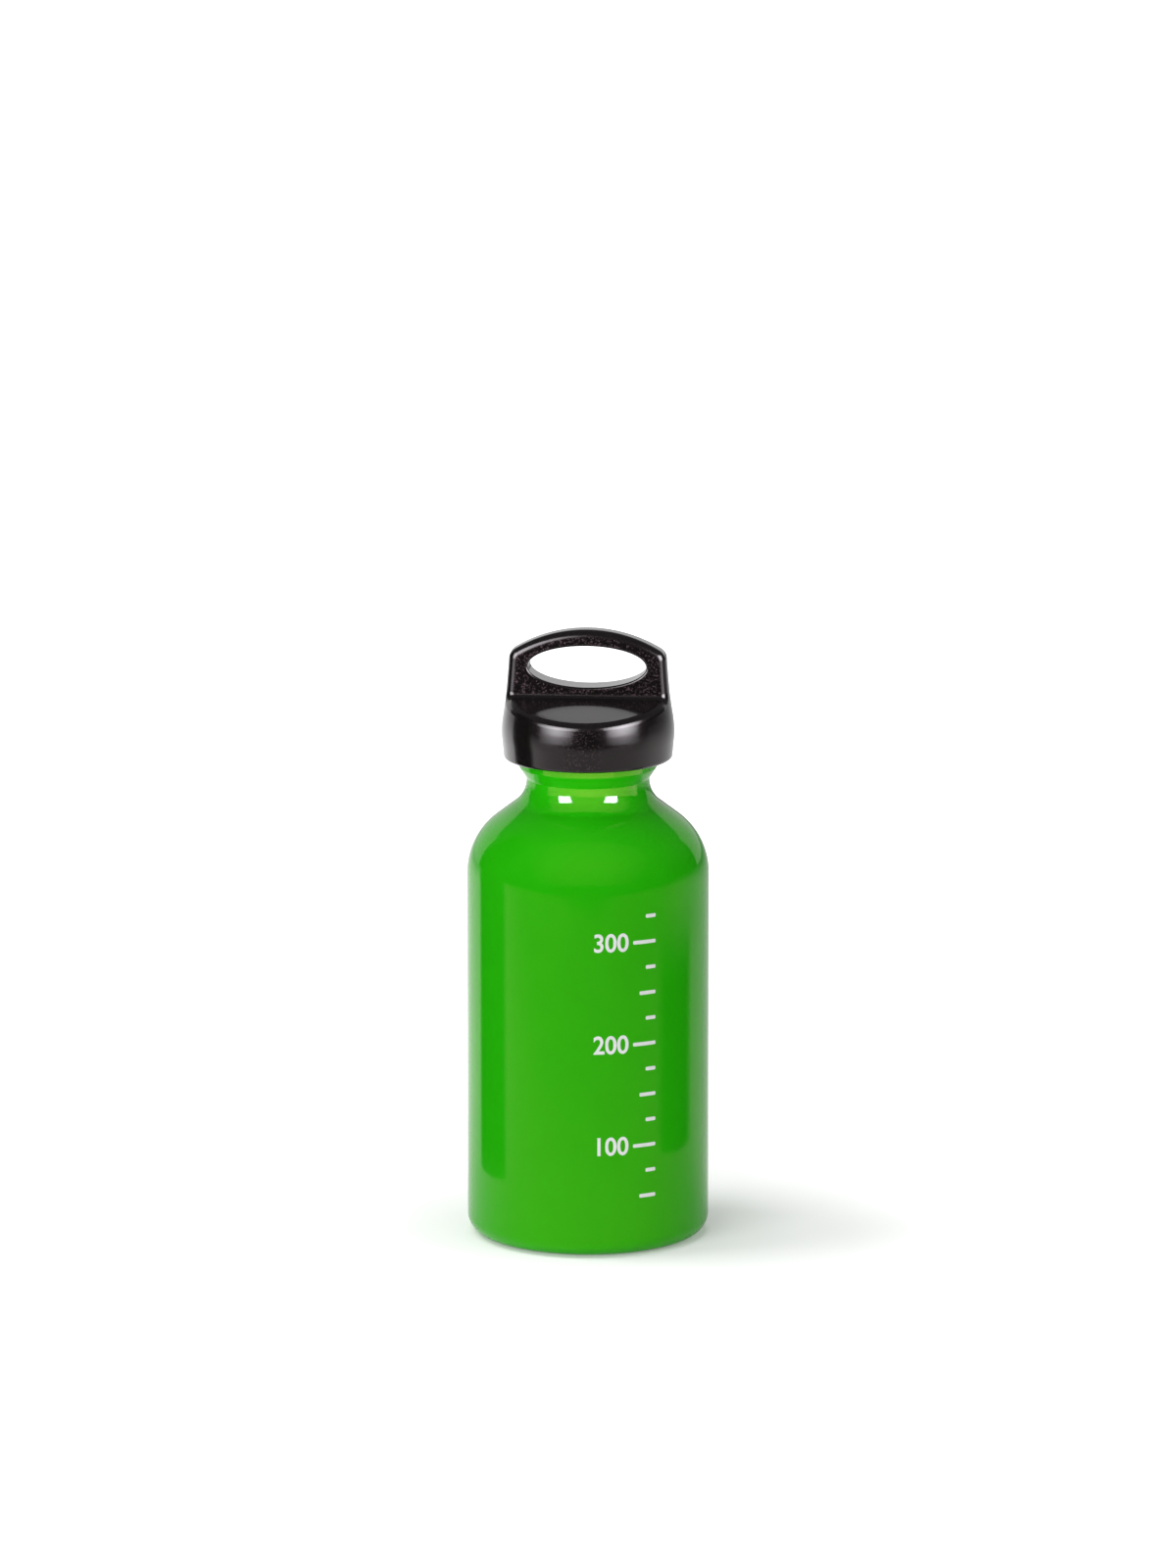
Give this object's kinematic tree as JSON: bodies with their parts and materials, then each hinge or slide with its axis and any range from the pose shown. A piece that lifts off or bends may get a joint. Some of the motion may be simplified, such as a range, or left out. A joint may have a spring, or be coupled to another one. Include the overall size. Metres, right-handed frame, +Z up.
{
  "type": "camping fuel bottle",
  "caption": "Slim painted aluminium fuel bottle with a threaded stopper under a push-and-turn, child-resistant cap that ends in a carrying loop.",
  "frame": {"origin": "middle of the base, on the plane of the ring that the bottle stands on", "axes": "+Z up along the bottle's axis, carrying loop in the XZ plane, its flat faces towards -Y and +Y"},
  "size_m": [0.068, 0.068, 0.1728],
  "materials": {
    "painted_shell": "gloss green paint over aluminium",
    "seal_rubber": "matte",
    "stopper_plastic": "satin",
    "spring_steel": "bright wire",
    "retainer_plastic": "satin",
    "cap_plastic": "black moulded plastic with fine grain"
  },
  "bodies": {
    "bottle": {"bottle_shell": "painted_shell"},
    "seal": {"sealing_ring": "seal_rubber"},
    "spring": {"return_spring": "spring_steel"},
    "stopper": {"stopper": "stopper_plastic"},
    "retainer": {"retaining_ring": "retainer_plastic"},
    "overcap": {"overcap": "cap_plastic"}
  },
  "joints": [
    {"name": "cap_off", "type": "slide", "parent": "bottle", "child": "seal", "axis": [0, 0, 1], "range_m": [0, 0.06]},
    {"name": "cap_lift", "type": "slide", "parent": "seal", "child": "spring", "axis": [0, 0, 1], "range_m": [0, 0.01]},
    {"name": "cap_turn", "type": "hinge", "parent": "spring", "child": "stopper", "pos_m": [0, 0, 0.1408], "axis": [0, 0, 1], "range_deg": [0, 900]},
    {"name": "overcap_press", "type": "slide", "parent": "stopper", "child": "retainer", "axis": [0, 0, -1], "range_m": [0, 0.0015], "stiffness_N_per_m": 1500, "springref_m": -0.004, "deforming": ["return_spring"]},
    {"name": "overcap_free_turn", "type": "hinge", "parent": "retainer", "child": "overcap", "pos_m": [0, 0, 0.1476], "axis": [0, 0, 1], "continuous": true}
  ],
  "couplings": [
    {"joint": "cap_lift", "follows": "cap_turn", "m_per_rad": 0.0006366}
  ]
}
